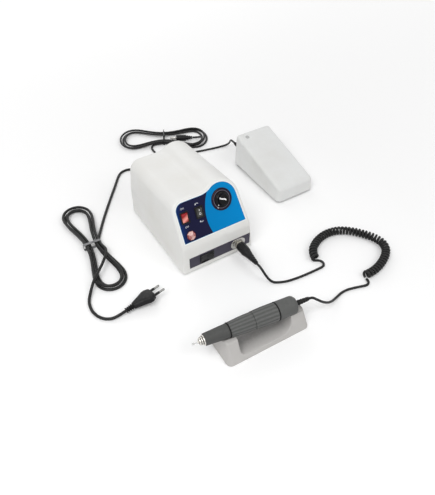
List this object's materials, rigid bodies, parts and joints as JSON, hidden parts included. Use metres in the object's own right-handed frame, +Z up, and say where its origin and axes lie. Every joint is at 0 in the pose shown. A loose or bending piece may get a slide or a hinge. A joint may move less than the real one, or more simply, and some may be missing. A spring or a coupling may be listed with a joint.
{
  "type": "dental laboratory micromotor set",
  "caption": "Bench micromotor set: control box with sloping panel, tilting foot pedal, motor handpiece lying on its rest, curly motor lead, and coiled mains and pedal leads.",
  "frame": {"origin": "on the table, at the centre of the box round the set's rigid units", "axes": "+X to the control box's right, +Y from its front to its back, +Z up"},
  "size_m": [0.5076, 0.646, 0.1391],
  "materials": {
    "white_case": "fine satin",
    "pale_pedal": "satin",
    "panel_blue": "printed film",
    "strip_grey": "printed film",
    "black_plastic": "satin",
    "rocker_red": "gloss",
    "lamp_red": "clear red",
    "nickel": "bright nickel",
    "chrome": "bright",
    "grip_grey": "fine ribbed",
    "ring_black": "plain",
    "rest_grey": "satin",
    "rubber_black": "plain",
    "base_dark": "plain",
    "circuit_green": "lacquered board",
    "iron": "stacked sheet",
    "copper": "wound copper",
    "magnet_grey": "sintered",
    "steel": "ground",
    "carbon": "pressed carbon",
    "lead_black": "soft sheath",
    "brass": "plated pin"
  },
  "bodies": {
    "set": {"case_shell": "white_case", "base_plate": "base_dark", "front_panel": "panel_blue", "lower_panel": "strip_grey", "speed_potentiometer": "steel", "power_switch": "black_plastic", "direction_switch": "black_plastic", "selector_switch": "black_plastic", "pilot_lamp": "lamp_red", "motor_socket": "nickel", "transformer": "iron", "circuit_board": "circuit_green", "mains_gland": "rubber_black", "pedal_socket": "nickel", "front_foot": "rubber_black", "rear_foot": "rubber_black", "pedal_base": "base_dark", "pedal_pivot_pin": "steel", "pedal_spring": "steel", "pedal_switch": "black_plastic", "pedal_cable_boot": "pale_pedal", "handpiece_rest": "rest_grey", "motor_plug": "black_plastic", "motor_lead_front": "lead_black", "motor_lead_curly": "lead_black", "motor_lead_rear": "lead_black", "mains_lead_box": "lead_black", "mains_lead_hank": "lead_black", "mains_lead_tie": "rubber_black", "mains_lead_plug_end": "lead_black", "mains_plug": "black_plastic", "mains_pin_left": "brass", "mains_pin_right": "brass", "pedal_lead_pedal": "lead_black", "pedal_lead_hank": "lead_black", "pedal_lead_tie": "rubber_black", "pedal_lead_plug_end": "lead_black", "pedal_plug": "black_plastic"},
    "speed_knob": {"speed_knob": "black_plastic"},
    "power_rocker": {"power_rocker": "rocker_red"},
    "direction_rocker": {"direction_rocker": "black_plastic"},
    "selector_rocker": {"selector_rocker": "black_plastic"},
    "pedal_cover": {"pedal_cover": "pale_pedal"},
    "handpiece": {"handpiece_nose": "chrome", "handpiece_front_ring": "ring_black", "handpiece_front_grip": "grip_grey", "handpiece_rear_grip": "grip_grey", "handpiece_rear_ring": "ring_black", "handpiece_rear_cap": "grip_grey", "handpiece_boot": "rubber_black", "motor_magnets": "magnet_grey", "front_bearing": "steel", "rear_bearing": "steel", "brush_upper": "carbon", "brush_lower": "carbon"},
    "chuck_sleeve": {"chuck_sleeve": "grip_grey"},
    "spindle": {"motor_spindle": "steel", "motor_armature": "copper", "collet": "chrome", "bur": "steel"}
  },
  "joints": [
    {"name": "speed_knob_turn", "type": "hinge", "parent": "set", "child": "speed_knob", "pos_m": [-0.03949, 0.00645, 0.10954], "axis": [0, 0.8829, -0.4695], "range_deg": [-74, 206]},
    {"name": "power_switch_tilt", "type": "hinge", "parent": "set", "child": "power_rocker", "pos_m": [-0.11059, 0.0034, 0.1038], "axis": [-1, 0, 0], "range_deg": [0, 20]},
    {"name": "direction_switch_tilt", "type": "hinge", "parent": "set", "child": "direction_rocker", "pos_m": [-0.08379, 0.0034, 0.1038], "axis": [-1, 0, 0], "range_deg": [0, 20]},
    {"name": "selector_switch_tilt", "type": "hinge", "parent": "set", "child": "selector_rocker", "pos_m": [-0.08549, -0.02148, 0.023], "axis": [0, 0, 1], "range_deg": [0, 20]},
    {"name": "pedal_press", "type": "hinge", "parent": "set", "child": "pedal_cover", "pos_m": [0.15851, 0.05952, 0.013], "axis": [-1, 0, 0], "range_deg": [0, 2], "stiffness_Nm_per_rad": 6, "springref_deg": -5.73},
    {"name": "handpiece_lift", "type": "slide", "parent": "set", "child": "handpiece", "axis": [0, 0, 1], "range_m": [0, 0.12]},
    {"name": "chuck_turn", "type": "hinge", "parent": "handpiece", "child": "chuck_sleeve", "pos_m": [-0.03359, -0.19228, 0.043], "axis": [-0.9936, 0.1132, 0], "range_deg": [0, 60]},
    {"name": "spindle_spin", "type": "hinge", "parent": "handpiece", "child": "spindle", "pos_m": [-0.03359, -0.19228, 0.043], "axis": [-0.9936, 0.1132, 0], "continuous": true}
  ]
}
